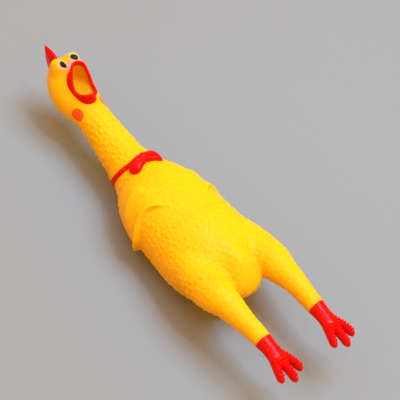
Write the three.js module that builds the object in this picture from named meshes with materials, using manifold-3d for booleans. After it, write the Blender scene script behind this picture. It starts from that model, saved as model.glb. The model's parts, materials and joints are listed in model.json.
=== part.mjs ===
// Rubber chicken: a hollow moulded vinyl prop that lies on its back, with a reed noise maker in its neck.
// Units are millimetres. +X runs from the head to the feet, +Z is up through the breast, and +Y is the
// chicken's left. The origin is the centre of the bottom of the bounding box: the surface it lies on.
import * as THREE from 'three';
import { mergeVertices } from 'three/addons/utils/BufferGeometryUtils.js';
import Module from 'manifold-3d';

const wasm = await Module();
wasm.setup();

// Driving dimensions.
const wall = 1.7; // thickness of the vinyl skin
const gap = 0.4; // running gap between pieces that move on each other
const trimGap = 0.3; // gap under a piece that stays where it is
const collarPivot = { x: -46, y: 0, z: 27.5 }; // where the neck sways and nods
const headPivot = { x: -100, y: 0, z: 36 }; // where the head nods
const hipPivot = { x: 71, y: 25.3, z: 39.2 }; // the left hip; the right one is its mirror image
const anklePivot = { x: 119, y: 24.8, z: 45 }; // the left ankle
const collarBall = 16.2; // radius of the neck's round end in the collar
const headBall = 13.9; // radius of the neck's round end in the head
const hipBall = 13.5; // radius of the thigh's round end
const ankleBall = 6.0; // radius of the foot's round end
const breastHalfLength = 40; // the soft part of the breast that is squeezed
const breastHalfWidth = 23;
const breastCentreX = 16;
const squeakerLength = 28;
const squeakerRadius = 9.3;

// Cross-sections along X: centre (x, y, z), half-width across Y and half-height along Z.
const torsoSections = [
  { x: -45, y: 0, z: 27.5, w: 16.6, h: 16.2 },
  { x: -37, y: 0, z: 27.2, w: 21.3, h: 20.3 },
  { x: -25, y: 0, z: 27, w: 28.6, h: 25.3 },
  { x: -7, y: 0, z: 27, w: 34, h: 28 },
  { x: 18, y: 0, z: 28, w: 35.8, h: 29 },
  { x: 42, y: 0, z: 28.2, w: 37, h: 29 },
  { x: 60, y: 0, z: 29.2, w: 35, h: 26.5 },
  { x: 71, y: 0, z: 30.2, w: 31, h: 21.5 },
  { x: 79, y: 0, z: 31.5, w: 17, h: 14 },
  { x: 82, y: 0, z: 32, w: 8, h: 7 },
];
// The left thigh where it lies along the torso, up to the hip.
const thighSections = [
  { x: 34, y: 23.6, z: 35.6, w: 10.5, h: 10.5 },
  { x: 46, y: 24.6, z: 36.8, w: 12.6, h: 12.6 },
  { x: 58, y: 25.1, z: 38.1, w: 13.4, h: 13.4 },
  { x: 71, y: 25.3, z: 39.2, w: 13.4, h: 13.4 },
];
const neckSections = [
  { x: -53, y: 0, z: 28.2, w: 14.6, h: 13.7 },
  { x: -60, y: 0, z: 29.2, w: 15, h: 14.4 },
  { x: -77, y: 0, z: 32, w: 14.1, h: 13.9 },
  { x: -92, y: 0, z: 34.5, w: 12.6, h: 12.6 },
];
const headSections = [
  { x: -97, y: 0, z: 35.5, w: 15.7, h: 15.8 },
  { x: -104, y: 0, z: 36.5, w: 16.4, h: 16.8 },
  { x: -116, y: 0, z: 38.5, w: 17, h: 17.6 },
  { x: -128, y: 0, z: 40.5, w: 15.4, h: 16.6 },
  { x: -137, y: 0, z: 42, w: 11.4, h: 12.8 },
  { x: -142.5, y: 0, z: 43, w: 6.8, h: 8 },
  { x: -144.5, y: 0, z: 43, w: 3, h: 3.6 },
];
const legSections = [
  { x: 77, y: 25.9, z: 41, w: 11.8, h: 11.8 },
  { x: 86, y: 25.8, z: 43.2, w: 10.1, h: 9.9 },
  { x: 97, y: 25.8, z: 44.4, w: 8.1, h: 8.1 },
  { x: 108, y: 25.3, z: 44.8, w: 6.9, h: 6.9 },
  { x: 121, y: 24.8, z: 45, w: 6.1, h: 6.1 },
];
const palmSections = [
  { x: 120, y: 24.8, z: 45, w: 5.3, h: 5.3 },
  { x: 128, y: 24.8, z: 44.9, w: 5.9, h: 4.9 },
  { x: 137, y: 24.9, z: 44.4, w: 8.2, h: 4.5 },
  { x: 144, y: 25, z: 43.6, w: 8.2, h: 3.6 },
  { x: 147, y: 25, z: 43.2, w: 6, h: 2.4 },
];
const browBump = { x: -133, y: 6, z: 54.6, halves: [7, 6.2, 7] };

// Colours of the paint and of the vinyl itself.
const paint = (color, roughness) => () =>
  new THREE.MeshStandardMaterial({ color, roughness, metalness: 0 });
const yellowVinyl = paint(0xfbd024, 0.45);
const redPaint = paint(0xe2160f, 0.3);
const orangePaint = paint(0xee5a18, 0.4);
const blackPaint = paint(0x14100e, 0.25);
const reedPlastic = paint(0xe9e4d6, 0.4);

const chicken = new THREE.Group();

// ---- helpers ----------------------------------------------------------------------------------

// A three.js geometry as a solid that can be joined and cut.
function solid(geometry) {
  const bare = new THREE.BufferGeometry();
  bare.setAttribute('position', geometry.getAttribute('position').clone());
  if (geometry.index) bare.setIndex(geometry.index.clone());
  const merged = mergeVertices(bare, 1e-4);
  return new wasm.Manifold(new wasm.Mesh({
    numProp: 3,
    vertProperties: new Float32Array(merged.getAttribute('position').array),
    triVerts: new Uint32Array(merged.index.array),
  }));
}

// A solid back as a three.js geometry.
function geometryOf(body) {
  const mesh = body.getMesh();
  const geometry = new THREE.BufferGeometry();
  geometry.setAttribute('position', new THREE.BufferAttribute(Float32Array.from(mesh.vertProperties), 3));
  geometry.setIndex(new THREE.BufferAttribute(Uint32Array.from(mesh.triVerts), 1));
  geometry.computeVertexNormals();
  return geometry;
}

function addPiece(name, geometry, material, parent = chicken) {
  const mesh = new THREE.Mesh(geometry, material());
  mesh.name = name;
  parent.add(mesh);
  return mesh;
}

const mirrored = (point) => ({ ...point, y: -point.y });
const grown = (sections, by) => sections.map((s) => ({ ...s, w: s.w + by, h: s.h + by }));

// A smooth body through the cross-sections, closed by flat ends. Sections run in order along +X or -X.
function loftGeometry(sections, steps, around) {
  const ordered = sections[0].x < sections[sections.length - 1].x ? sections : [...sections].reverse();
  const middle = new THREE.CatmullRomCurve3(
    ordered.map((s) => new THREE.Vector3(s.x, s.y, s.z)), false, 'catmullrom', 0.5);
  const size = new THREE.CatmullRomCurve3(
    ordered.map((s) => new THREE.Vector3(s.w, s.h, 0)), false, 'catmullrom', 0.5);
  const geometry = new THREE.CylinderGeometry(1, 1, 1, around, steps);
  const position = geometry.getAttribute('position');
  for (let i = 0; i < position.count; i++) {
    const t = Math.min(1, Math.max(0, position.getY(i) + 0.5));
    const centre = middle.getPoint(t);
    const half = size.getPoint(t);
    const across = position.getZ(i);
    const up = position.getX(i);
    position.setXYZ(i, centre.x, centre.y + half.x * across, centre.z + half.y * up);
  }
  return geometry;
}

const loft = (sections, steps, around) => solid(loftGeometry(sections, steps, around));

function ball(centre, radius, around = 24) {
  const geometry = new THREE.SphereGeometry(radius, around, around / 2);
  geometry.rotateX(Math.PI / 2);
  geometry.translate(centre.x, centre.y, centre.z);
  return solid(geometry);
}

function ellipsoid(centre, halves, around = 12) {
  const geometry = new THREE.SphereGeometry(1, around, around / 2);
  geometry.rotateX(Math.PI / 2);
  geometry.scale(...halves);
  geometry.translate(centre.x, centre.y, centre.z);
  return solid(geometry);
}

// A box given by its low and high corners.
function block(low, high) {
  const geometry = new THREE.BoxGeometry(high[0] - low[0], high[1] - low[1], high[2] - low[2]);
  geometry.translate((low[0] + high[0]) / 2, (low[1] + high[1]) / 2, (low[2] + high[2]) / 2);
  return solid(geometry);
}

// An upright elliptical cylinder.
function uprightCylinder(x, y, halfX, halfY, lowZ, highZ, around = 28) {
  const geometry = new THREE.CylinderGeometry(1, 1, highZ - lowZ, around);
  geometry.rotateX(Math.PI / 2);
  geometry.scale(halfX, halfY, 1);
  geometry.translate(x, y, (lowZ + highZ) / 2);
  return solid(geometry);
}

// An outline in the XZ plane, given thickness along Y from low to high.
function sideOutline(shape, lowY, highY, curveSegments = 6) {
  const geometry = new THREE.ExtrudeGeometry(shape, {
    depth: highY - lowY,
    bevelEnabled: false,
    curveSegments,
  });
  geometry.rotateX(Math.PI / 2); // the outline's second axis becomes Z, its depth runs along -Y
  geometry.translate(0, highY, 0);
  return solid(geometry);
}

// ---- skin of the torso ------------------------------------------------------------------------

const torsoSteps = 12;
const torsoAround = 26;

// The torso with its thighs, larger all round by the given amount.
function torsoOuter(by = 0, coarser = 0) {
  let body = loft(grown(torsoSections, by), torsoSteps - coarser, torsoAround - 3 * coarser);
  for (const side of [1, -1]) {
    const sections = thighSections.map((s) => ({ ...s, y: side * s.y }));
    body = body.add(loft(grown(sections, by), 4, 18 - coarser));
  }
  return body;
}

// The hollow skin, trimmed to the flat that it lies on.
function torsoShell() {
  const inside = torsoOuter(-wall, 2).subtract(block([-200, -60, -20], [200, 60, wall]));
  return torsoOuter().subtract(block([-200, -60, -20], [200, 60, 0])).subtract(inside);
}

const breastPlug = (grow) =>
  uprightCylinder(breastCentreX, 0, breastHalfLength + grow, breastHalfWidth + grow, 30, 80);

function addTorso() {
  let skin = torsoShell().subtract(breastPlug(gap));
  skin = skin.subtract(ball(collarPivot, 18.9, 20));
  skin = skin.subtract(block([collarPivot.x - 10, -40, -10], [collarPivot.x + 4, 40, 70]));
  for (const pivot of [hipPivot, mirrored(hipPivot)]) {
    skin = skin.subtract(ball(pivot, hipBall + gap, 20));
    const side = Math.sign(pivot.y);
    const low = Math.min(side * 9, side * 50);
    skin = skin.subtract(block([pivot.x, low, -10], [pivot.x + 20, low + 41, 70]));
  }
  addPiece('torso_skin', geometryOf(skin), yellowVinyl);
  addPiece('breast_panel', geometryOf(torsoShell().intersect(breastPlug(0))), yellowVinyl);
}

// A folded wing in relief, seen from the side.
function wingOutline() {
  const shape = new THREE.Shape();
  shape.moveTo(-36, 36);
  shape.quadraticCurveTo(-31, 47, -8, 51);
  shape.quadraticCurveTo(-20, 38, 3, 22);
  shape.quadraticCurveTo(-4, 15, -22, 17);
  shape.quadraticCurveTo(-34, 22, -36, 36);
  return shape;
}

function addWings() {
  const relief = torsoOuter(2.6).subtract(torsoOuter(trimGap));
  for (const [name, low] of [['left_wing', 10], ['right_wing', -50]]) {
    const wing = relief.intersect(sideOutline(wingOutline(), low, low + 40));
    addPiece(name, geometryOf(wing), yellowVinyl);
  }
}

// ---- neck, collar and bow tie -----------------------------------------------------------------

function addNeck() {
  const shape = (by, around) => {
    const trim = 2 * Math.max(0, -by); // the hollow runs past both open ends
    const lowerEnd = ball(collarPivot, collarBall + by, around)
      .intersect(block([collarPivot.x - 9, -30, -10], [collarPivot.x + 8 + trim, 30, 70]));
    const upperEnd = ball(headPivot, headBall + by, around)
      .intersect(block([headPivot.x - 6 - trim, -30, 0], [-86, 30, 70]));
    return loft(grown(neckSections, by), 5, around - 4).add(lowerEnd).add(upperEnd);
  };
  addPiece('neck_skin', geometryOf(shape(0, 24).subtract(shape(-wall, 18))), yellowVinyl);
}

function addCollar() {
  const inner = collarBall + gap + 0.1;
  const outer = collarBall + 2.2;
  const rounding = 0.7;
  const half = 2;
  const band = turned([
    [inner, -half], [outer - rounding, -half], [outer, rounding - half],
    [outer, half - rounding], [outer - rounding, half], [inner, half],
  ], 28);
  band.rotateZ(Math.PI / 2);
  band.translate(collarPivot.x, 0, collarPivot.z);
  addPiece('collar_band', geometryOf(solid(band)), redPaint);
}

// Two rounded loops and a knot, lying across the front of the collar.
function addBowTie() {
  const top = collarPivot.z + collarBall + 4.2;
  const forward = collarPivot.x - 1;
  let bow = ellipsoid({ x: forward, y: 0, z: top }, [4, 4, 3.4]);
  for (const side of [-1, 1]) {
    const loop = loftGeometry([
      { x: 1.5, y: 0, z: 0, w: 2, h: 2 },
      { x: 7, y: 0, z: 0, w: 3.8, h: 3 },
      { x: 11.5, y: 0, z: 0, w: 4.7, h: 3.1 },
      { x: 14.5, y: 0, z: 0, w: 3.9, h: 2.4 },
    ], 5, 12);
    loop.rotateY(THREE.MathUtils.degToRad(12));
    loop.rotateZ(side * Math.PI / 2);
    loop.translate(forward, 0, top);
    bow = bow.add(solid(loop));
  }
  const clearance = ball(collarPivot, collarBall + 2.7, 20);
  addPiece('bow_tie', geometryOf(bow.subtract(clearance)), redPaint);
}

// ---- head -------------------------------------------------------------------------------------

const mouthCentreX = -111;
const browAt = (side) => ({ ...browBump, y: side * browBump.y });

// The head with its two eye bumps.
function headOuter(by = 0) {
  let body = loft(grown(headSections, by), 11, 24);
  for (const side of [-1, 1]) {
    body = body.add(ellipsoid(browAt(side), browBump.halves.map((half) => half + by), 16));
  }
  return body;
}

function addHead() {
  const inside = loft(grown(headSections, -wall), 8, 18).add(ball(headPivot, headBall + gap));
  const mouth = uprightCylinder(mouthCentreX, 0, 10.5, 6.5, 40, 70, 20);
  const neckEnd = block([headPivot.x + 2, -30, 0], [-80, 30, 80]);
  const skin = headOuter().subtract(inside).subtract(mouth).subtract(neckEnd);
  addPiece('head_skin', geometryOf(skin), yellowVinyl);
}

// The open beak: an egg-shaped rim that stands out of the face around the mouth, higher at its upper end.
function addBeak() {
  const ring = (halfX, halfY) => uprightCylinder(mouthCentreX, 0, halfX, halfY, 44, 72, 20);
  const above = new THREE.BoxGeometry(80, 60, 30);
  above.translate(0, 0, 15);
  above.rotateY(THREE.MathUtils.degToRad(24));
  above.translate(mouthCentreX, 0, 61);
  const rim = ring(13.2, 8.8).subtract(ring(9.6, 5.6)).subtract(solid(above)).subtract(headOuter(trimGap));
  addPiece('beak_rim', geometryOf(rim), redPaint);
}

// A pointed fin on the crown.
function addComb() {
  const shape = new THREE.Shape();
  shape.moveTo(-136, 53);
  shape.quadraticCurveTo(-147, 55, -155, 52.5);
  shape.quadraticCurveTo(-153.5, 41, -143, 32);
  shape.lineTo(-136, 32);
  shape.lineTo(-136, 53);
  const comb = sideOutline(shape, -2.6, 2.6).subtract(headOuter(trimGap));
  addPiece('comb', geometryOf(comb), redPaint);
}

function addEyesAndEarlobes() {
  for (const [name, side] of [['left_eye', 1], ['right_eye', -1]]) {
    const bump = browAt(side);
    const centre = { x: bump.x + 3, y: bump.y, z: bump.z + 6 };
    const pupil = ellipsoid(centre, [2.9, 2.9, 2.4]).subtract(headOuter(trimGap));
    addPiece(name, geometryOf(pupil), blackPaint);
  }
  for (const [name, side] of [['left_earlobe', 1], ['right_earlobe', -1]]) {
    const centre = { x: -101.5, y: side * 14.2, z: 43.5 };
    const lobe = ellipsoid(centre, [4.6, 3.6, 5.2]).subtract(headOuter(trimGap));
    addPiece(name, geometryOf(lobe), orangePaint);
  }
}

// ---- legs and feet ----------------------------------------------------------------------------

function addLeg(name, flip) {
  const place = (items) => items.map((s) => (flip ? mirrored(s) : s));
  const hip = flip ? mirrored(hipPivot) : hipPivot;
  const ankle = flip ? mirrored(anklePivot) : anklePivot;
  const shape = (by, around) =>
    loft(place(grown(legSections, by)), 5, around - 4).add(ball(hip, hipBall + by, around));
  const openEnd = hip.x - 7;
  let skin = shape(0, 20).subtract(shape(-wall, 14)).subtract(ball(ankle, ankleBall + gap, 16));
  skin = skin.subtract(block([openEnd - 20, -60, 0], [openEnd, 60, 80]));
  skin = skin.subtract(block([ankle.x, -60, 0], [ankle.x + 20, 60, 80]));
  addPiece(name, geometryOf(skin), yellowVinyl);
}

function addFoot(name, flip) {
  const ankle = flip ? mirrored(anklePivot) : anklePivot;
  const side = flip ? -1 : 1;
  const palm = palmSections.map((s) => ({ ...s, y: side * s.y }));
  let foot = loft(palm, 5, 12).add(ball(ankle, ankleBall, 16));
  for (const spread of [-1, 0, 1]) {
    const length = spread === 0 ? 155 : 151;
    const toe = loft([
      { x: 134, y: ankle.y + spread * 4.6, z: 44.9, w: 3, h: 3.4 },
      { x: 143, y: ankle.y + spread * 6.6, z: 44, w: 3.4, h: 3.8 },
      { x: length - 3, y: ankle.y + spread * 7.7, z: 43, w: 3, h: 3.3 },
      { x: length, y: ankle.y + spread * 7.9, z: 42.6, w: 1.6, h: 1.8 },
    ], 4, 8);
    foot = foot.add(toe);
  }
  addPiece(name, geometryOf(foot), redPaint);
}

// ---- noise maker in the neck ------------------------------------------------------------------

// Its own axis is Y in this group: +Y points along the neck towards the head.
function squeakerGroup() {
  const lean = Math.atan2(headPivot.z - collarPivot.z, collarPivot.x - headPivot.x);
  const onNeckLine = 0.46;
  const outer = new THREE.Group();
  outer.position.set(
    collarPivot.x + (headPivot.x - collarPivot.x) * onNeckLine, 0,
    collarPivot.z + (headPivot.z - collarPivot.z) * onNeckLine);
  outer.rotation.y = lean;
  const inner = new THREE.Group();
  inner.rotation.z = Math.PI / 2;
  outer.add(inner);
  chicken.add(outer);
  return inner;
}

function turned(profile, around = 20) {
  const points = [...profile, profile[0]].map(([r, along]) => new THREE.Vector2(r, along));
  return new THREE.LatheGeometry(points, around);
}

function addSqueaker() {
  const group = squeakerGroup();
  const end = squeakerLength / 2;
  const bore = squeakerRadius - 1.3;
  const rib = squeakerRadius + 0.9;
  addPiece('squeaker_tube', turned([
    [bore, -end], [squeakerRadius, -end], [squeakerRadius, -6], [rib, -5], [squeakerRadius, -4],
    [squeakerRadius, 4], [rib, 5], [squeakerRadius, 6], [squeakerRadius, end], [bore, end],
  ]), reedPlastic, group);
  addPiece('squeaker_cap', turned([
    [2.4, end - 2.4], [bore - trimGap, end - 2.4], [bore - trimGap, end - 0.4], [2.4, end - 0.4],
  ]), reedPlastic, group);

  // The seat is half of a small tube; the reed lies over its open side under a wedge.
  const seatTop = end - 2.8;
  const seatBottom = seatTop - 19;
  const trough = solid(turned([[1.5, seatBottom], [3.2, seatBottom], [3.2, seatTop], [1.5, seatTop]], 12));
  const seat = trough.subtract(block([0, -30, -5], [5, 30, 5]));
  addPiece('reed_seat', geometryOf(seat), reedPlastic, group);

  const tongue = new THREE.BoxGeometry(0.35, 16, 5.2);
  tongue.translate(trimGap + 0.175, seatTop - 9, 0);
  addPiece('reed_tongue', tongue, reedPlastic, group);

  const wedge = new THREE.BoxGeometry(1.6, 4, 5);
  wedge.translate(trimGap * 2 + 0.35 + 0.8, seatTop - 3, 0);
  addPiece('reed_wedge', wedge, reedPlastic, group);
}

// ---- the whole chicken ------------------------------------------------------------------------

addTorso();
addWings();
addNeck();
addCollar();
addBowTie();
addHead();
addBeak();
addComb();
addEyesAndEarlobes();
addLeg('left_leg_skin', false);
addLeg('right_leg_skin', true);
addFoot('left_foot', false);
addFoot('right_foot', true);
addSqueaker();

export default chicken;
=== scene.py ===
"""Rubber chicken: a soft hollow vinyl prop lying on its back on a pale floor.

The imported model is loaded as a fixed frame. The skin is one smooth field, cut into pieces where it bends
or is squeezed, so neighbouring pieces share their edges. Shapes are worked out in millimetres in the frame's
own axes: +X from head to feet, +Z up through the breast, +Y to the chicken's left.
"""

import json
import math

import bmesh
import bpy
import numpy as np
from mathutils import Matrix, Vector
from mathutils.kdtree import KDTree


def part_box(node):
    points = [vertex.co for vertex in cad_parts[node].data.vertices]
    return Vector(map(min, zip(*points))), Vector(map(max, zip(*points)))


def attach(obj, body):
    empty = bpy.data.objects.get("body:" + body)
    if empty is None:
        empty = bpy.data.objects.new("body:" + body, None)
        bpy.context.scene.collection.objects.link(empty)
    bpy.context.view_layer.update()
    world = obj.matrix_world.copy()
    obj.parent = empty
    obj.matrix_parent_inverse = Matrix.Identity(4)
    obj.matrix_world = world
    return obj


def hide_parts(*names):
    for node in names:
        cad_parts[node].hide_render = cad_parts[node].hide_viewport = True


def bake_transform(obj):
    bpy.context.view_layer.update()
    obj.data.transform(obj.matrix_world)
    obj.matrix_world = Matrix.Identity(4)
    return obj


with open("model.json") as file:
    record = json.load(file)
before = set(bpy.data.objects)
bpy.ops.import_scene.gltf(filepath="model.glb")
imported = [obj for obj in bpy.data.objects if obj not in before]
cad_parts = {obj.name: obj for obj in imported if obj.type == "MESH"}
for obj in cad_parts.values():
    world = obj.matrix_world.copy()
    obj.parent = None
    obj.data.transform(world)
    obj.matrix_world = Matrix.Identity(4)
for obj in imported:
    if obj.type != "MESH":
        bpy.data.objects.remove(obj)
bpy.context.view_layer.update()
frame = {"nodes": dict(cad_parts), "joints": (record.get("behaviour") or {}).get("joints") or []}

MM = 0.001


# ---- places taken from the frame -----------------------------------------------------------------

def pivot(joint_name):
    """The joint's pivot in millimetres."""
    joint = next(j for j in frame["joints"] if j["name"] == joint_name)
    return np.array(joint["pos_m"], float) / MM


COLLAR = pivot("neck_nod")
NECK_TOP = pivot("head_nod")
ANKLE = pivot("left_ankle")
TOE_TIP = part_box("left_foot")[1][0] / MM
COMB_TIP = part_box("comb")[0][0] / MM

SKIN_STEP = 0.8      # spacing of the skin's vertices
FINE_STEP = 0.5      # spacing on the feet and the bow tie
PIMPLE_PITCH = 3.9   # least distance between goose pimples
PIMPLE_RADIUS = 1.75
PIMPLE_HEIGHT = 0.6


# ---- fields: negative inside, positive outside, about one per millimetre -------------------------

def curve(at, values):
    """A smooth curve through (at, values), flat-ended where the values run out."""
    at = np.array(at, float)
    values = np.array(values, float)
    slope = np.gradient(values, at)

    def value(x):
        x = np.clip(x, at[0], at[-1])
        i = np.clip(np.searchsorted(at, x) - 1, 0, len(at) - 2)
        span = at[i + 1] - at[i]
        t = (x - at[i]) / span
        near = (1 + 2 * t) * (1 - t) ** 2 * values[i] + t * (1 - t) ** 2 * span * slope[i]
        far = t * t * (3 - 2 * t) * values[i + 1] + t * t * (t - 1) * span * slope[i + 1]
        return near + far

    return value


class Loft:
    """A body through upright elliptical sections: rows of x, centre y, centre z, half-width, half-height."""

    def __init__(self, rows):
        table = np.array(rows, float).T
        self.low, self.high = table[0][0], table[0][-1]
        self.y, self.z, self.w, self.h = [curve(table[0], column) for column in table[1:]]

    def __call__(self, p):
        x = np.clip(p[..., 0], self.low, self.high)
        w, h = self.w(x), self.h(x)
        ring = np.sqrt(((p[..., 1] - self.y(x)) / w) ** 2 + ((p[..., 2] - self.z(x)) / h) ** 2)
        step = 0.5
        growth = self.size(x + step) - self.size(x - step)
        side = (ring - 1) * np.minimum(w, h) / np.sqrt(1 + (growth / (2 * step)) ** 2)
        past = np.abs(p[..., 0] - x)
        return np.where(past > 0, np.sqrt(np.maximum(side, 0) ** 2 + past ** 2), side)

    def size(self, x):
        return np.sqrt(self.w(x) * self.h(x))


def ellipsoid(centre, halves):
    centre, halves = np.array(centre, float), np.array(halves, float)

    def field(p):
        q = (p - centre) / halves
        near = np.linalg.norm(q, axis=-1)
        far = np.linalg.norm(q / halves, axis=-1)
        return near * (near - 1) / np.maximum(far, 1e-6)

    return field


def join(a, b, soft):
    """The union of two fields, with a fillet about as wide as soft."""
    t = np.clip(0.5 + 0.5 * (b - a) / soft, 0, 1)
    return b + (a - b) * t - soft * t * (1 - t)


def mirrored(p):
    """Points folded onto the chicken's left side, which both sides share."""
    q = p.copy()
    q[..., 1] = np.abs(q[..., 1])
    return q


def smooth(low, high, x):
    t = np.clip((x - low) / (high - low), 0, 1)
    return t * t * (3 - 2 * t)


TORSO = Loft([
    (-51, 0, 27.5, 15.6, 15.4),
    (-45, 0, 27.3, 16.4, 16.0),
    (-37, 0, 27.2, 20.4, 19.6),
    (-25, 0, 27.0, 28.0, 24.8),
    (-7, 0, 27.6, 33.0, 27.4),
    (18, 0, 28.4, 35.6, 28.6),
    (42, 0, 28.8, 36.4, 28.4),
    (54, 0, 29.0, 34.4, 25.6),
    (64, 0, 28.8, 30.4, 20.4),
    (71, 0, 28.8, 24.0, 15.6),
    (76, 0, 29.2, 14.5, 10.0),
    (79, 0, 29.5, 4.0, 3.2),
])
BELLY = Loft([
    (30, 0, 30.0, 12.0, 16.0),
    (44, 0, 30.6, 14.0, 24.0),
    (56, 0, 31.4, 13.6, 24.2),
    (65, 0, 32.6, 13.4, 22.0),
    (72, 0, 33.4, 13.6, 17.6),
    (77, 0, 34.8, 13.0, 11.8),
    (81, 0, 35.2, 10.4, 7.0),
    (83.4, 0, 35.2, 4.6, 2.8),
])
NECK = Loft([
    (-112, 0, 36.5, 11.0, 11.0),
    (-104, 0, 36.0, 12.0, 12.0),
    (-96, 0, 35.0, 12.3, 12.3),
    (-88, 0, 33.8, 12.6, 12.6),
    (-76, 0, 31.8, 13.7, 13.5),
    (-63, 0, 29.6, 14.9, 14.7),
    (-50, 0, 27.6, 15.6, 15.5),
    (-39, 0, 27.0, 16.2, 15.8),
])
HEAD = Loft([
    (-98, 0, 34.5, 7.0, 7.0),
    (-101, 0, 34.8, 11.0, 11.2),
    (-106, 0, 35.4, 14.4, 14.3),
    (-113, 0, 36.4, 16.2, 15.8),
    (-121, 0, 38.2, 16.6, 16.8),
    (-129, 0, 40.4, 15.4, 16.6),
    (-135.5, 0, 42.2, 12.4, 13.8),
    (-140, 0, 43.4, 8.8, 10.2),
    (-143, 0, 44.2, 4.8, 5.6),
    (-144.4, 0, 44.4, 1.2, 1.4),
][::-1])
LEG = Loft([
    (30, 22.5, 34.2, 8.0, 8.0),
    (40, 24.0, 36.0, 12.0, 11.8),
    (52, 25.0, 37.4, 14.0, 13.2),
    (66, 25.8, 39.4, 14.0, 13.4),
    (76, 26.4, 41.6, 12.6, 12.2),
    (86, 25.9, 43.4, 10.3, 9.9),
    (97, 26.0, 44.7, 8.3, 8.1),
    (107, 25.4, 44.8, 7.1, 7.0),
    (119, 24.9, 44.9, 6.3, 6.2),
    (126, 24.8, 44.8, 5.8, 5.6),
])
PALM = Loft([
    (114, 24.9, 44.9, 6.0, 5.9),
    (119, 24.9, 44.9, 6.3, 6.2),
    (126, 24.8, 44.7, 5.9, 5.2),
    (132, 24.8, 44.4, 6.4, 4.7),
    (137, 24.9, 44.0, 7.2, 3.8),
    (140, 24.9, 43.6, 6.6, 2.6),
    (142, 24.9, 43.4, 5.0, 1.4),
])
BROW = ellipsoid((-133.2, 6.8, 54.4), (6.2, 5.2, 6.9))


def toe(spread, tip):
    """One toe: spread is -1, 0 or 1 across the foot, and its top carries rounded scutes."""
    side = [24.8 + spread * y for y in (2.4, 5.3, 7.4, 8.3, 8.3)]
    body = Loft([
        (129, side[0], 44.6, 2.4, 2.8),
        (137, side[1], 44.5, 2.8, 3.6),
        (tip - 7, side[2], 43.9, 2.7, 3.7),
        (tip - 2.6, side[3], 43.2, 2.4, 3.1),
        (tip - 0.4, side[4], 42.8, 1.1, 1.4),
    ])

    def field(p):
        ridge = np.sin((p[..., 0] - tip) * 2 * math.pi / 2.2)
        top = smooth(0.2, 2.4, p[..., 2] - body.z(p[..., 0]))
        along = smooth(131, 135, p[..., 0]) * (1 - smooth(tip - 3.0, tip - 1.6, p[..., 0]))
        return body(p) - (0.36 * ridge + 0.1) * top * along

    return field


TOES = [toe(-1, TOE_TIP - 4.8), toe(0, TOE_TIP - 0.4), toe(1, TOE_TIP - 4.8)]


def foot_field(p):
    q = mirrored(p)
    field = PALM(q)
    for one in TOES:
        field = join(field, one(q), 0.6)
    return field


def skin_field(p):
    """The whole yellow skin, without its goose pimples."""
    q = mirrored(p)
    body = join(TORSO(p), NECK(p), 5.0)
    head = join(HEAD(p), BROW(q), 4.2)
    body = join(body, head, 4.0)
    body = join(body, BELLY(p), 4.0)
    body = join(body, LEG(q), 4.2)
    return raise_wing(body, p)


# The wing's trailing edge, as x against the angle round the torso from the top of the breast.
WING_EDGE = curve([15, 30, 40, 50, 62, 75, 93, 112, 140], [9, 3.2, -0.8, -2.6, -1.6, 1.4, 5.4, 6.0, 4.0])
LEFT_WING_BACK = 6.5     # the left wing lies this much nearer to the feet
LEFT_WING_FLATTER = 0.3  # and is this much less raised


def wing_place(p):
    """How far each point is in front of the wing's trailing edge, and its angle round the torso."""
    x = p[..., 0]
    angle = np.degrees(np.arctan2(np.abs(p[..., 1]) / TORSO.w(x), (p[..., 2] - TORSO.z(x)) / TORSO.h(x)))
    return WING_EDGE(angle) + LEFT_WING_BACK * (p[..., 1] > 0) - x, angle


def raise_wing(body, p):
    """Raises the folded wing out of the torso: a rounded lip along its edge and a soft fold in front."""
    ahead, angle = wing_place(p)
    side = smooth(58, 105, angle)
    edge = np.exp(-((ahead - 2.0) / 2.3) ** 2)
    fold = np.exp(-((ahead - 17) / 3.4) ** 2) * smooth(30, 42, angle) * (1 - side)
    front = 1 - smooth(18 - 6 * side, 26 + 8 * side, ahead)
    left = 1 - LEFT_WING_FLATTER * (p[..., 1] > 0)
    height = smooth(-1.5, 1.7, ahead) * (1.1 + 1.7 * edge + 1.3 * fold) * front * (1 + 0.4 * side) * left
    return body - height * smooth(20, 42, angle) * (1 - smooth(116, 124, angle))


# ---- meshes from fields --------------------------------------------------------------------------

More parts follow.
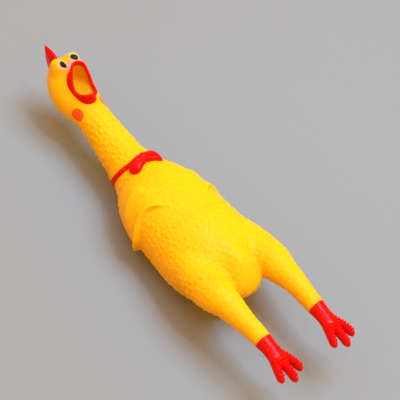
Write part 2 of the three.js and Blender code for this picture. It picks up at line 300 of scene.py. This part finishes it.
def surface(field, low, high, step):
    """Vertices and quads of the field's zero surface between two corners, by surface nets."""
    axes = [np.arange(a, b + step, step) for a, b in zip(low, high)]
    shape = [len(a) for a in axes]
    values = np.empty(shape)
    for i in range(0, shape[0], 24):
        grid = np.stack(np.meshgrid(axes[0][i:i + 24], axes[1], axes[2], indexing="ij"), axis=-1)
        values[i:i + 24] = field(grid)
    inside = values < 0
    cells = [n - 1 for n in shape]
    total = np.zeros(cells + [3])
    crossings = np.zeros(cells)
    corners = [(a, b, c) for a in (0, 1) for b in (0, 1) for c in (0, 1)]

    def corner(array, c):
        return array[c[0]:c[0] + cells[0], c[1]:c[1] + cells[1], c[2]:c[2] + cells[2]]

    for a in corners:
        for axis in range(3):
            if a[axis]:
                continue
            b = tuple(1 if k == axis else a[k] for k in range(3))
            va, vb = corner(values, a), corner(values, b)
            cross = corner(inside, a) != corner(inside, b)
            t = np.where(cross, va / np.where(cross, va - vb, 1), 0)
            crossings += cross
            for k in range(3):
                total[..., k] += np.where(cross, a[k] + (t if k == axis else 0), 0)
    used = crossings > 0
    number = -np.ones(cells, int)
    number[used] = np.arange(used.sum())
    where = np.argwhere(used)
    points = (where + total[used] / crossings[used][:, None]) * step + np.array([a[0] for a in axes])
    quads = []
    for axis in range(3):
        u, v = (axis + 1) % 3, (axis + 2) % 3
        low_side = [slice(None)] * 3
        high_side = [slice(None)] * 3
        low_side[axis], high_side[axis] = slice(0, -1), slice(1, None)
        change = inside[tuple(low_side)] != inside[tuple(high_side)]
        edge = np.argwhere(change)
        edge = edge[(edge[:, u] > 0) & (edge[:, v] > 0) & (edge[:, u] < cells[u]) & (edge[:, v] < cells[v])]
        ring = []
        for du, dv in ((-1, -1), (0, -1), (0, 0), (-1, 0)):
            cell = edge.copy()
            cell[:, u] += du
            cell[:, v] += dv
            ring.append(number[cell[:, 0], cell[:, 1], cell[:, 2]])
        ring = np.stack(ring, axis=1)
        outward = inside[edge[:, 0], edge[:, 1], edge[:, 2]]
        quads.append(np.where(outward[:, None], ring, ring[:, ::-1]))
    return points, np.concatenate(quads)


def gradient(field, p, h=0.05):
    slope = np.empty_like(p)
    for k in range(3):
        step = np.zeros(3)
        step[k] = h
        slope[:, k] = (field(p + step) - field(p - step)) / (2 * h)
    return slope


def settle(points, field, rounds=3):
    """Moves points onto the field's surface, and gives the surface's normals there."""
    for _ in range(rounds):
        slope = gradient(field, points)
        steep = np.maximum((slope ** 2).sum(1), 1e-4)
        move = -(field(points) / steep)[:, None] * slope
        length = np.linalg.norm(move, axis=1, keepdims=True)
        points = points + move * np.minimum(1, 0.6 / np.maximum(length, 1e-9))
    slope = gradient(field, points)
    return points, slope / np.maximum(np.linalg.norm(slope, axis=1, keepdims=True), 1e-9)


def new_mesh(name, points, faces, normals=None, material=None):
    """A smooth-shaded object from points in millimetres."""
    mesh = bpy.data.meshes.new(name)
    mesh.from_pydata((np.asarray(points) * MM).tolist(), [], [list(map(int, f)) for f in faces])
    mesh.polygons.foreach_set("use_smooth", [True] * len(mesh.polygons))
    if normals is not None:
        mesh.normals_split_custom_set_from_vertices(np.asarray(normals).tolist())
    piece = bpy.data.objects.new(name, mesh)
    bpy.context.scene.collection.objects.link(piece)
    if material:
        mesh.materials.append(material)
    return piece


def cut_along(points, quads, normals, planes):
    """Adds clean edges where each plane (point, normal) meets the mesh. Returns points, faces and normals."""
    mesh = bpy.data.meshes.new("cutting")
    mesh.from_pydata(points.tolist(), [], quads.tolist())
    work = bmesh.new()
    work.from_mesh(mesh)
    layers = [work.verts.layers.float.new(axis) for axis in "xyz"]
    work.verts.ensure_lookup_table()
    for vertex, normal in zip(work.verts, normals):
        for layer, value in zip(layers, normal):
            vertex[layer] = value
    for place, direction in planes:
        everything = work.verts[:] + work.edges[:] + work.faces[:]
        bmesh.ops.bisect_plane(work, geom=everything, dist=1e-4, plane_co=place, plane_no=direction)
    work.verts.index_update()
    out_points = np.array([v.co for v in work.verts])
    out_normals = np.array([[v[layer] for layer in layers] for v in work.verts])
    faces = [[v.index for v in f.verts] for f in work.faces]
    work.free()
    bpy.data.meshes.remove(mesh)
    out_normals /= np.maximum(np.linalg.norm(out_normals, axis=1, keepdims=True), 1e-9)
    return out_points, faces, out_normals


def part_of(points, faces, normals, chosen):
    """The faces picked out by chosen, with only the points they use."""
    faces = [f for f, keep in zip(faces, chosen) if keep]
    used = np.unique(np.concatenate([np.array(f) for f in faces]))
    renumber = np.full(len(points), -1)
    renumber[used] = np.arange(len(used))
    return points[used], [renumber[f].tolist() for f in faces], normals[used]


def collar_x(z):
    """Where the collar runs: its upper side leans towards the feet."""
    return COLLAR[0] + 0.5 + 0.215 * (z - COLLAR[2])


# ---- goose pimples -------------------------------------------------------------------------------

def pimple_strength(p):
    """How tall the goose pimples are at each point, from 0 to 1: none on the head, collar or wing's lip."""
    x = p[:, 0]
    strength = smooth(-97, -91, x - 0.35 * (p[:, 2] - NECK_TOP[2]))
    strength *= 1 - 0.35 * smooth(58, 92, x) - 0.65 * smooth(ANKLE[0] - 8, ANKLE[0] - 1, x)
    upper = smooth(38, 52, p[:, 2]) * smooth(-36, -22, x)
    strength *= 1 - 0.45 * upper
    near_collar = 1 - smooth(2.6, 5.0, np.abs(x - collar_x(p[:, 2])))
    strength *= 1 - near_collar
    ahead, angle = wing_place(p)
    on_lip = smooth(-2.2, -1.0, ahead) * (1 - smooth(5.0, 8.0, ahead))
    on_wing = smooth(-2.2, 0, ahead) * (1 - smooth(26, 34, ahead))
    in_wing = smooth(26, 34, angle) * (1 - smooth(118, 126, angle))
    strength *= 1 - in_wing * np.maximum(on_lip, 0.72 * on_wing)
    rump = np.exp(-(((x - 76) / 9) ** 2 + (p[:, 1] / 10) ** 2))
    strength *= 1 - 0.75 * rump
    return strength


def scatter(points, pitch, seed):
    """Points no nearer to each other than pitch, picked in a random but fixed order."""
    order = np.random.default_rng(seed).permutation(len(points))
    cells = {}
    chosen = []
    for i in order:
        p = points[i]
        cell = tuple((p // pitch).astype(int))
        clear = True
        for dx in (-1, 0, 1):
            for dy in (-1, 0, 1):
                for dz in (-1, 0, 1):
                    for other in cells.get((cell[0] + dx, cell[1] + dy, cell[2] + dz), ()):
                        gap = points[other] - p
                        if gap @ gap < pitch * pitch:
                            clear = False
                            break
        if clear:
            cells.setdefault(cell, []).append(i)
            chosen.append(i)
    return points[chosen]


def raise_pimples(points, normals, centres, strength):
    """Lifts a rounded bump at each centre and tilts the normals to match."""
    tree = KDTree(len(points))
    for i, p in enumerate(points):
        tree.insert(p, i)
    tree.balance()
    lift = np.zeros(len(points))
    slope = np.zeros_like(points)
    rng = np.random.default_rng(11)
    sizes = rng.uniform(0.85, 1.12, len(centres))
    for centre, size in zip(centres, sizes):
        radius = PIMPLE_RADIUS * size
        for _, i, distance in tree.find_range(centre, radius):
            t = 1 - (distance / radius) ** 2
            tall = PIMPLE_HEIGHT * size * strength[i]
            lift[i] += tall * t * t
            slope[i] += tall * 2 * t * (-2 / radius ** 2) * (points[i] - centre)
    along = slope - (slope * normals).sum(1, keepdims=True) * normals
    tilted = normals - along
    tilted /= np.linalg.norm(tilted, axis=1, keepdims=True)
    return points + normals * lift[:, None], tilted


# ---- materials -----------------------------------------------------------------------------------

def material(name):
    made = bpy.data.materials.new(name)
    made.use_nodes = True
    tree = made.node_tree
    shader = tree.nodes["Principled BSDF"]
    return made, tree, shader


def node(tree, kind, **settings):
    made = tree.nodes.new(kind)
    for key, value in settings.items():
        if hasattr(made, key):
            setattr(made, key, value)
        else:
            made.inputs[key.replace("_", " ")].default_value = value
    return made


def noise(tree, coordinates, scale, detail=3.0):
    made = node(tree, "ShaderNodeTexNoise", Scale=scale, Detail=detail)
    tree.links.new(coordinates, made.inputs["Vector"])
    return made.outputs["Fac"]


def ranged(tree, value, low, high, to_low, to_high):
    made = node(tree, "ShaderNodeMapRange")
    made.interpolation_type = "SMOOTHSTEP"
    for key, number in zip(("From Min", "From Max", "To Min", "To Max"), (low, high, to_low, to_high)):
        made.inputs[key].default_value = number
    tree.links.new(value, made.inputs["Value"])
    return made.outputs["Result"]


def mixed(tree, factor, a, b):
    """A colour between a and b. Each is a colour or a socket."""
    made = node(tree, "ShaderNodeMix")
    made.data_type = "RGBA"
    sockets = [s for s in made.inputs if s.type == "RGBA"]
    for socket, value in zip(sockets, (a, b)):
        if isinstance(value, tuple):
            socket.default_value = (*value, 1)
        else:
            tree.links.new(value, socket)
    tree.links.new(factor, made.inputs["Factor"])
    return next(s for s in made.outputs if s.type == "RGBA")


def near_spot(tree, coordinates, centre, halves, inner, outer):
    """1 inside an ellipsoid round centre, fading to 0. Distances are shares of halves."""
    shift = node(tree, "ShaderNodeVectorMath", operation="SUBTRACT")
    tree.links.new(coordinates, shift.inputs[0])
    shift.inputs[1].default_value = [c * MM for c in centre]
    shrink = node(tree, "ShaderNodeVectorMath", operation="DIVIDE")
    tree.links.new(shift.outputs[0], shrink.inputs[0])
    shrink.inputs[1].default_value = [h * MM for h in halves]
    length = node(tree, "ShaderNodeVectorMath", operation="LENGTH")
    tree.links.new(shrink.outputs[0], length.inputs[0])
    return ranged(tree, length.outputs["Value"], inner, outer, 1.0, 0.0)


def finish_surface(tree, shader, coordinates, rough, spread, bump_scale, bump_depth):
    """Uneven gloss and a fine moulded grain."""
    patchy = noise(tree, coordinates, 60.0, 4.0)
    rough_out = ranged(tree, patchy, 0.3, 0.7, rough - spread, rough + spread)
    tree.links.new(rough_out, shader.inputs["Roughness"])
    grain = node(tree, "ShaderNodeBump", Strength=0.35, Distance=bump_depth * MM)
    tree.links.new(noise(tree, coordinates, bump_scale, 3.0), grain.inputs["Height"])
    tree.links.new(grain.outputs["Normal"], shader.inputs["Normal"])


YELLOW = (0.98, 0.475, 0.004)
DEEP_YELLOW = (0.97, 0.44, 0.003)


def let_light_through(tree, shader, colour, share):
    """The thin hollow wall glows with the light behind it."""
    glow = node(tree, "ShaderNodeBsdfTranslucent", Color=(*colour, 1))
    blend = node(tree, "ShaderNodeMixShader")
    blend.inputs["Fac"].default_value = share
    tree.links.new(shader.outputs["BSDF"], blend.inputs[1])
    tree.links.new(glow.outputs["BSDF"], blend.inputs[2])
    tree.links.new(blend.outputs["Shader"], tree.nodes["Material Output"].inputs["Surface"])


def soft_vinyl(shader, weight, scale):
    shader.inputs["Subsurface Weight"].default_value = weight
    shader.inputs["Subsurface Scale"].default_value = scale
    shader.inputs["Subsurface Radius"].default_value = (1.0, 0.6, 0.06)
    shader.inputs["IOR"].default_value = 1.5


def yellow_vinyl(name, eye_patch=False):
    made, tree, shader = material(name)
    coordinates = node(tree, "ShaderNodeTexCoord").outputs["Object"]
    cloudy = ranged(tree, noise(tree, coordinates, 28.0), 0.35, 0.7, 0.0, 1.0)
    colour = mixed(tree, cloudy, YELLOW, DEEP_YELLOW)
    if eye_patch:
        spot = near_spot(tree, coordinates, (-128.8, 0, 59.4), (5.0, 8.4, 5.5), 0.55, 1.0)
        colour = mixed(tree, spot, colour, (0.60, 0.33, 0.17))
        for side in (-1, 1):
            centre = (-130.4 - side * 0.8, side * 5.8, 60.6)
            ring = near_spot(tree, coordinates, centre, (4.8, 4.4, 4.4), 0.8, 1.0)
            colour = mixed(tree, ring, colour, (0.68, 0.46, 0.22))
    tree.links.new(colour, shader.inputs["Base Color"])
    soft_vinyl(shader, 0.5, 6.0 * MM)
    shader.inputs["Specular IOR Level"].default_value = 0.07
    finish_surface(tree, shader, coordinates, 0.4, 0.05, 900.0, 0.05)
    let_light_through(tree, shader, (0.98, 0.40, 0.01), 0.15)
    return made


def painted(name, colour, deep, rough, weight=0.08, gloss=0.3):
    made, tree, shader = material(name)
    coordinates = node(tree, "ShaderNodeTexCoord").outputs["Object"]
    cloudy = ranged(tree, noise(tree, coordinates, 90.0, 4.0), 0.35, 0.7, 0.0, 1.0)
    tree.links.new(mixed(tree, cloudy, colour, deep), shader.inputs["Base Color"])
    soft_vinyl(shader, weight, 1.5 * MM)
    shader.inputs["Specular IOR Level"].default_value = gloss
    finish_surface(tree, shader, coordinates, rough, 0.06, 700.0, 0.04)
    return made


VINYL = yellow_vinyl("yellow_vinyl_skin")
HEAD_VINYL = yellow_vinyl("yellow_vinyl_head", eye_patch=True)
# The mouth's lining is the yellow vinyl painted darker and more orange than the skin: painted shade inside
# the mouth.
MOUTH_SHADED_VINYL = painted("mouth_vinyl_painted_shade", (0.66, 0.25, 0.002), (0.60, 0.22, 0.002), 0.5, 0.2, 0.04)
RED = painted("red_paint_gloss", (0.68, 0.0032, 0.0018), (0.60, 0.0028, 0.0015), 0.15, 0.05, 0.07)
ORANGE = painted("orange_paint_spray", (0.92, 0.052, 0.003), (0.93, 0.08, 0.004), 0.45, 0.08, 0.15)
BLACK = painted("black_paint", (0.012, 0.006, 0.004), (0.022, 0.011, 0.008), 0.5, 0.0, 0.15)
REED_PLASTIC = painted("reed_plastic_moulded", (0.80, 0.77, 0.68), (0.74, 0.70, 0.60), 0.42, 0.05)


# ---- the yellow skin -----------------------------------------------------------------------------

TORSO_END = -34.0                      # the shoulder seam
BREAST = 20.0                          # the seam across the breast, where a squeeze presses deepest
NECK_SPLIT = -80.0                     # the seam half way up the neck
SHANK_SPLIT = 105.0                    # the seam on the shank
HIP_NORMAL = Vector((0.80, 0.60, 0))   # across the hip's seam, on the left
HIP_SEAM = Vector((80.0, 9.0, 0))
BEHIND_THIGHS = 50.0                   # nothing nearer to the head than this belongs to a leg
REST_HEIGHT = 0.25                     # the back is pressed flat below this


# The mouth from above: the middle of the opening and its half-lengths.
MOUTH_X, MOUTH_HALF_X, MOUTH_HALF_Y = -111.7, 12.0, 8.0


def mouth_hole(p):
    """Negative over the part of the face that the beak stands round."""
    under_face = p[:, 2] < 43
    across = np.hypot((p[:, 0] - MOUTH_X) / (MOUTH_HALF_X - 1), p[:, 1] / (MOUTH_HALF_Y - 0.6))
    return across - 1 + under_face * 9


def make_skin():
    low = (COMB_TIP + 4, -42, -3)
    high = (ANKLE[0] + 3, 42, 66)
    points, quads = surface(skin_field, low, high, SKIN_STEP)
    points, normals = settle(points, skin_field)
    centres = scatter(points, PIMPLE_PITCH, 5)
    points, normals = raise_pimples(points, normals, centres, pimple_strength(points))
    flatten_rest(points, normals)
    cuts = (BREAST, TORSO_END, COLLAR[0], NECK_SPLIT, SHANK_SPLIT, ANKLE[0])
    planes = [((x, 0, 0), (1, 0, 0)) for x in cuts]
    for side in (-1, 1):
        place = Vector((HIP_SEAM.x, side * HIP_SEAM.y, 0))
        planes.append((place, Vector((HIP_NORMAL.x, side * HIP_NORMAL.y, 0))))
    points, faces, normals = cut_along(points, quads, normals, planes)
    middle = np.array([points[f].mean(0) for f in faces])
    x = middle[:, 0]
    beyond_hip = (x - HIP_SEAM.x) * HIP_NORMAL.x + (np.abs(middle[:, 1]) - HIP_SEAM.y) * HIP_NORMAL.y > 0
    leg = beyond_hip & (x > BEHIND_THIGHS)
    left = middle[:, 1] > 0
    regions = {
        "belly_hide": ~leg & (x > BREAST),
        "breast_hide": (x < BREAST) & (x > TORSO_END),
        "shoulder_hide": (x < TORSO_END) & (x > COLLAR[0]),
        "neck_hide": (x < COLLAR[0]) & (x > NECK_SPLIT),
        "head_hide": (x < NECK_SPLIT) & (mouth_hole(middle) > 0),
        "left_thigh_hide": leg & left & (x < SHANK_SPLIT),
        "right_thigh_hide": leg & ~left & (x < SHANK_SPLIT),
        "left_shank_hide": leg & left & (x > SHANK_SPLIT) & (x < ANKLE[0]),
        "right_shank_hide": leg & ~left & (x > SHANK_SPLIT) & (x < ANKLE[0]),
    }
    pieces = {}
    for name, chosen in regions.items():
        skin = HEAD_VINYL if name == "head_hide" else VINYL
        pieces[name] = new_mesh(name, *part_of(points, faces, normals, chosen), material=skin)
    return pieces


def flatten_rest(points, normals):
    """The back settles flat where it carries the chicken."""
    low = points[:, 2] < REST_HEIGHT
    points[low, 2] = REST_HEIGHT + (points[low, 2] - REST_HEIGHT) * 0.08
    pressed = smooth(0.4, 0.1, points[:, 2])[:, None]
    normals[:] = normals * (1 - pressed) + np.array([0, 0, -1.0]) * pressed
    normals /= np.linalg.norm(normals, axis=1, keepdims=True)


def make_feet():
    pieces = {}
    low = (ANKLE[0] - 2, 10, 34)
    high = (TOE_TIP + 2, 40, 54)
    points, quads = surface(foot_field, low, high, FINE_STEP)
    points, normals = settle(points, foot_field)
    points, faces, normals = cut_along(points, quads, normals, [((ANKLE[0], 0, 0), (1, 0, 0))])
    chosen = np.array([points[f].mean(0)[0] for f in faces]) > ANKLE[0]
    points, faces, normals = part_of(points, faces, normals, chosen)
    pieces["left_foot_paint"] = new_mesh("left_foot_paint", points, faces, normals, RED)
    flip = np.array([1, -1, 1])
    faces = [f[::-1] for f in faces]
    pieces["right_foot_paint"] = new_mesh("right_foot_paint", points * flip, faces, normals * flip, RED)
    return pieces


# ---- the face ------------------------------------------------------------------------------------

# The beak's lip from the side: its height against x, high on the upper beak and low at the mouth's corners.
LIP_HEIGHT = curve([-123.7, -120.7, -117.4, -111, -106.5, -102.7, -99.7],
                   [66.8, 65.0, 60.2, 53.2, 52.4, 54.2, 56.5])
BEAK_COUNT = 96  # points round the lip


def lip_points(count, offset, drop):
    """A closed ring of points beside the lip: offset outwards from its crest and drop below it."""
    angle = np.arange(count) / count * 2 * math.pi
    x = MOUTH_X - MOUTH_HALF_X * np.cos(angle)
    y = MOUTH_HALF_Y * np.sin(angle) * (1 + 0.05 * np.cos(angle))
    normal = np.stack([-np.cos(angle) / MOUTH_HALF_X, np.sin(angle) / MOUTH_HALF_Y], axis=1)
    normal /= np.linalg.norm(normal, axis=1, keepdims=True)
    z = LIP_HEIGHT(x) - drop
    return np.stack([x + normal[:, 0] * offset, y + normal[:, 1] * offset, z], axis=1)


def ring_faces(rings, count, closed):
    """Quads between rings of count points each. A closed stack joins its last ring to its first."""
    faces = []
    last = rings if closed else rings - 1
    for i in range(last):
        for j in range(count):
            k = (j + 1) % count
            n = (i + 1) % rings
            faces.append([i * count + j, i * count + k, n * count + k, n * count + j])
    return faces


def make_beak():
    # Each pair is the offset outwards and the drop below the lip's crest, round the wall's section.
    section = [(0.0, 0.0), (0.6, 0.12), (1.05, 0.5), (1.3, 1.15), (1.15, 1.8), (0.75, 2.4), (0.75, 3.4),
               (1.1, 5.5), (1.7, 8.0), (2.4, 12.0), (1.2, 12.0), (-0.6, 7.0), (-0.85, 3.6), (-1.0, 2.2),
               (-1.1, 1.2), (-0.85, 0.45), (-0.45, 0.1)]
    rings = []
    for offset, drop in section:
        ring = lip_points(BEAK_COUNT, offset, drop)
        if drop > 3:
            face_top = np.array([face_height(x, y) for x, y in ring[:, :2]])
            ring[:, 2] = np.maximum(ring[:, 2], face_top - 1.6)
        rings.append(ring)
    faces = ring_faces(len(section), BEAK_COUNT, closed=True)
    beak = new_mesh("beak_paint", np.concatenate(rings), faces, material=RED)
    round_off(beak)
    return beak


def make_mouth_lining():
    """The cup inside the beak: rings that close in as they get deeper, down to one point."""
    inside = []
    cup = [(1.02, 1.6), (1.0, 3.2), (0.98, 5.5), (0.93, 8.0), (0.80, 10.2), (0.55, 11.6), (0.25, 12.3)]
    for share, deeper in cup:
        ring = lip_points(BEAK_COUNT, -0.95, deeper)
        ring[:, 0] = MOUTH_X + (ring[:, 0] - MOUTH_X) * share
        ring[:, 1] *= share
        floor = 49.0 - 1.5 * share
        t = smooth(1.6, 11.5, deeper)
        ring[:, 2] = ring[:, 2] * (1 - t) + (floor + 3.5 * share ** 4) * t
        inside.append(ring)
    centre = np.array([[MOUTH_X, 0, 48.9]])
    points = np.concatenate(inside + [centre])
    faces = ring_faces(len(inside), BEAK_COUNT, closed=False)
    last = (len(inside) - 1) * BEAK_COUNT
    faces += [[len(points) - 1, last + j, last + (j + 1) % BEAK_COUNT] for j in range(BEAK_COUNT)]
    # Its darker orange colour is painted shade inside the mouth's cup.
    lining = new_mesh("mouth_lining", points, faces, material=MOUTH_SHADED_VINYL)
    round_off(lining)
    return lining


def face_height(x, y):
    """The face's height under a point of the beak."""
    z = np.linspace(70, 30, 81)
    line = np.stack([np.full_like(z, x), np.full_like(z, y), z], axis=1)
    return z[np.argmax(skin_field(line) < 0)]


def round_off(piece):
    """Turns the faces outwards, then subdivides them once."""
    work = bmesh.new()
    work.from_mesh(piece.data)
    bmesh.ops.recalc_face_normals(work, faces=work.faces[:])
    work.to_mesh(piece.data)
    work.free()
    piece.data.polygons.foreach_set("use_smooth", [True] * len(piece.data.polygons))
    step = piece.modifiers.new("round", "SUBSURF")
    step.levels = step.render_levels = 1
    apply(piece)


def apply(piece):
    """Bakes the piece's modifiers into its mesh."""
    bpy.context.view_layer.update()
    graph = bpy.context.evaluated_depsgraph_get()
    mesh = bpy.data.meshes.new_from_object(piece.evaluated_get(graph))
    old = piece.data
    piece.modifiers.clear()
    piece.data = mesh
    bpy.data.meshes.remove(old)


def make_comb():
    """A pointed fin: sections from the crown to the tip, thick along its front edge."""
    base_front, base_back = np.array([-140.0, 51.0]), np.array([-140.4, 29.8])
    tip = np.array([COMB_TIP - 2.4, 51.4])
    count, rings = 28, []
    angle = np.arange(count) / count * 2 * math.pi
    for s in np.linspace(0, 1, 13) ** 0.85:
        front = base_front + (tip - base_front) * s + np.array([0, 1.6]) * math.sin(math.pi * s)
        back = base_back + (tip - base_back) * s + np.array([-3.0, -2.4]) * math.sin(math.pi * s)
        middle, half = (front + back) / 2, (front - back) / 2
        closing = 1 if s < 0.93 else max(0.25, math.sqrt(max(0.0, 1 - ((s - 0.93) / 0.075) ** 2)))
        thick = (3.3 * (1 - s) ** 0.7 + 0.8) * closing
        along = np.cos(angle)
        width = np.sin(angle) * thick * (0.62 + 0.38 * along)
        length = np.linalg.norm(half)
        if length < 1.0:
            half = half * max(1.0, 1.0 / max(length, 1e-6))
        x = middle[0] + half[0] * along * closing
        z = middle[1] + half[1] * along * closing
        rings.append(np.stack([x, width, z], 1))
    points = np.concatenate(rings)
    faces = ring_faces(len(rings), count, closed=False)
    faces.append(list(range(count)))
    faces.append([(len(rings) - 1) * count + j for j in range(count)][::-1])
    comb = new_mesh("comb_paint", points, faces, material=RED)
    round_off(comb)
    return comb


def patch(name, centre, across, up, radii, height, colour, count=36, rings=9):
    """A painted disc that follows the face: a shallow dome whose edge is tucked just under the skin."""
    centre, across, up = [np.array(v, float) for v in (centre, across, up)]
    points = [centre]
    angle = np.arange(count) / count * 2 * math.pi
    for r in np.linspace(0, 1, rings + 1)[1:]:
        for a in angle:
            points.append(centre + across * radii[0] * r * math.cos(a) + up * radii[1] * r * math.sin(a))
    points, normals = settle(np.array(points), skin_field, 6)
    share = np.concatenate([[0], np.repeat(np.linspace(0, 1, rings + 1)[1:], count)])
    lift = height * np.sqrt(np.clip(1.04 - share ** 2, 0, 1)) - 0.12 * share ** 6 - height * 0.2 * share ** 12
    points = points + normals * lift[:, None]
    faces = [[0, 1 + j, 1 + (j + 1) % count] for j in range(count)]
    for i in range(rings - 1):
        for j in range(count):
            k = (j + 1) % count
            low, high = 1 + i * count, 1 + (i + 1) * count
            faces.append([low + j, high + j, high + k, low + k])
    return new_mesh(name, points, faces, material=colour)


def make_face():
    pieces = {}
    for name, side in (("left", 1), ("right", -1)):
        pupil, earlobe = name + "_pupil_paint", name + "_earlobe_paint"
        centre = (-130.4 - side * 1.0, 0.7 + side * 5.3, 60.8)
        radii = (3.9, 2.8 - side * 0.4)
        pieces[pupil] = patch(pupil, centre, (0.75, 0.66, 0), (-0.66, 0.75, 0), radii, 0.4, BLACK)
        centre = (-98.8, side * 13.7, 40.6)
        pieces[earlobe] = patch(earlobe, centre, (1, 0, 0.1), (0, -0.5 * side, 1), (5.0, 5.3), 0.5, ORANGE)
    return pieces


# ---- collar and bow tie --------------------------------------------------------------------------

def make_collar():
    count, rings = 96, []
    angle = np.arange(count) / count * 2 * math.pi
    section = [(0.0, 1.4), (1.0, 1.3), (1.7, 1.0), (2.05, 0.3), (2.1, -0.8), (1.3, -1.0), (0, -1.0),
               (-1.3, -1.0), (-2.1, -0.8), (-2.05, 0.3), (-1.7, 1.0), (-1.0, 1.3)]
    for along, out in section:
        ring = []
        for a in angle:
            x = collar_x(COLLAR[2] + 17 * math.cos(a)) + along
            radius = skin_radius(x, a) + out
            ring.append((x, radius * math.sin(a), COLLAR[2] + radius * math.cos(a)))
        rings.append(np.array(ring))
    faces = ring_faces(len(section), count, closed=True)
    collar = new_mesh("collar_paint", np.concatenate(rings), faces, material=RED)
    round_off(collar)
    return collar


def skin_radius(x, angle):
    """The skin's distance from the collar's axis, in one direction round the neck."""
    r = np.linspace(10, 26, 161)
    line = np.stack([np.full_like(r, x), r * math.sin(angle), COLLAR[2] + r * math.cos(angle)], axis=1)
    inside = skin_field(line) < 0
    return r[np.argmin(inside)]


BOW = (COLLAR[0] + 7.2, 0.0, COLLAR[2] + 20.9)  # the middle of the bow, on the front of the collar


def bow_field(p):
    """Two soft loops pinched at a knot, draped over the front of the collar."""
    q = mirrored(p)
    arch = q.copy()
    arch[..., 2] += 0.021 * q[..., 1] ** 2
    arch[..., 0] -= 0.01 * q[..., 1] ** 2
    top = BOW[2]
    loop = ellipsoid((BOW[0] + 0.4, 8.0, top + 0.3), (5.1, 5.6, 2.9))
    flare = ellipsoid((BOW[0] + 1.6, 9.8, top + 0.2), (5.4, 3.6, 2.8))
    knot = ellipsoid((BOW[0] - 1.4, 0, top + 0.6), (3.5, 3.0, 2.8))
    waist = ellipsoid((BOW[0] - 0.4, 3.4, top), (4.4, 4.8, 2.6))
    field = join(loop(arch), flare(arch), 1.6)
    field = join(field, waist(arch), 1.4)
    fold = np.exp(-((arch[..., 0] - BOW[0]) / 0.9) ** 2) * np.exp(-((arch[..., 1] - 5.4) / 2.8) ** 2)
    field = field + 0.5 * fold
    return join(field, knot(arch), 0.7)


def make_bow():
    low = (BOW[0] - 9, -18, BOW[2] - 10)
    high = (BOW[0] + 11, 18, BOW[2] + 6)
    points, quads = surface(bow_field, low, high, FINE_STEP)
    points, normals = settle(points, bow_field)
    return new_mesh("bow_tie_paint", points, quads, normals, RED)


# ---- stage, lights and camera --------------------------------------------------------------------

def make_stage():
    bpy.ops.mesh.primitive_plane_add(size=6, location=(0, 0, 0))
    floor = bpy.context.object
    floor.name = "floor"
    made, tree, shader = material("pale_floor")
    coordinates = node(tree, "ShaderNodeTexCoord").outputs["Object"]
    colour = mixed(tree, noise(tree, coordinates, 3.0), (0.243, 0.242, 0.242), (0.237, 0.236, 0.236))
    tree.links.new(colour, shader.inputs["Base Color"])
    shader.inputs["Roughness"].default_value = 0.85
    shader.inputs["Specular IOR Level"].default_value = 0.2
    floor.data.materials.append(made)


def add_area(name, place, size, power, colour):
    """A round lamp pointed at the middle of the chicken."""
    light = bpy.data.lights.new(name, "AREA")
    light.shape = "DISK"
    light.size = size
    light.energy = power
    light.color = colour
    lamp = bpy.data.objects.new(name, light)
    bpy.context.scene.collection.objects.link(lamp)
    lamp.location = place
    aim = Vector((0, 0, 0.02)) - Vector(place)
    lamp.rotation_euler = aim.to_track_quat("-Z", "Y").to_euler()


COOL = (0.295, 0.59, 0.889)  # balances the warm glow that fills the room, so open floor stays grey


def make_lights():
    world = bpy.data.worlds.new("soft_room")
    bpy.context.scene.world = world
    world.use_nodes = True
    glow = world.node_tree.nodes["Background"].inputs
    glow["Color"].default_value = (1.0, 0.56, 0.12, 1)
    glow["Strength"].default_value = 1.3
    add_area("key", (0.1, 0.4, 1.45), 0.9, 33.0, COOL)
    add_area("top", (-0.3, -0.2, 1.6), 1.7, 19.0, COOL)
    add_area("glint", (0.3, 0.1, 1.35), 0.1, 2.0, (1, 1, 1))


def make_camera():
    """Looks down over the chicken's right side, with the camera rolled."""
    azimuth, elevation, roll = math.radians(-56.8), math.radians(50.5), math.radians(20.8)
    target = Vector((0.0022, 0.0232, 0.031))
    distance = 1.0
    level = math.cos(elevation)
    out = Vector((level * math.cos(azimuth), level * math.sin(azimuth), math.sin(elevation)))
    camera = bpy.data.cameras.new("camera")
    camera.lens = 126.5
    camera.sensor_width = 36.0
    camera.clip_start = 0.05
    view = bpy.data.objects.new("camera", camera)
    bpy.context.scene.collection.objects.link(view)
    turn = (-out).to_track_quat("-Z", "Y").to_matrix().to_4x4()
    view.matrix_world = Matrix.Translation(target + out * distance) @ turn @ Matrix.Rotation(roll, 4, "Z")
    bpy.context.scene.camera = view
    settings = bpy.context.scene.view_settings
    settings.view_transform = "Standard"
    settings.look = "None"


# ---- building and joining to the frame -----------------------------------------------------------


def bend(piece):
    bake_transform(piece)


skin = make_skin()
feet = make_feet()
beak = make_beak()
lining = make_mouth_lining()
comb = make_comb()
face = make_face()
collar = make_collar()
bow = make_bow()

# The breast and belly pieces, then the shoulder, neck and head, have their placement baked into their meshes.
for name, lean in (("breast_hide", 0.34), ("belly_hide", -0.5)):
    bend(skin[name])
bend(skin["shoulder_hide"])
bend(skin["neck_hide"])
bend(skin["head_hide"])
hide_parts("torso_skin")
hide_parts("breast_panel", "left_wing", "right_wing")
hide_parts("neck_skin")
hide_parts("head_skin")
for side, sign in (("left", 1), ("right", -1)):
    bend(skin[side + "_thigh_hide"])
    for piece in (skin[side + "_shank_hide"], feet[side + "_foot_paint"]):
        bend(piece)
    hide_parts(side + "_leg_skin")
    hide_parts(side + "_foot")
    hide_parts(side + "_eye")
    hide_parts(side + "_earlobe")
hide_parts("beak_rim")
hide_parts("comb")
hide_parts("collar_band")
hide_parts("bow_tie")
for piece in (beak, lining, comb, *face.values()):
    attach(piece, "head")
for piece in (collar, bow):
    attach(piece, "collar")

for name, piece in face.items():
    "black_paint" if "pupil" in name else "orange_paint"

for name in ("squeaker_tube", "squeaker_cap", "reed_seat", "reed_tongue", "reed_wedge"):
    reed_part = frame["nodes"][name]
    for slot in reed_part.material_slots:
        slot.material = REED_PLASTIC

make_stage()
make_lights()
make_camera()
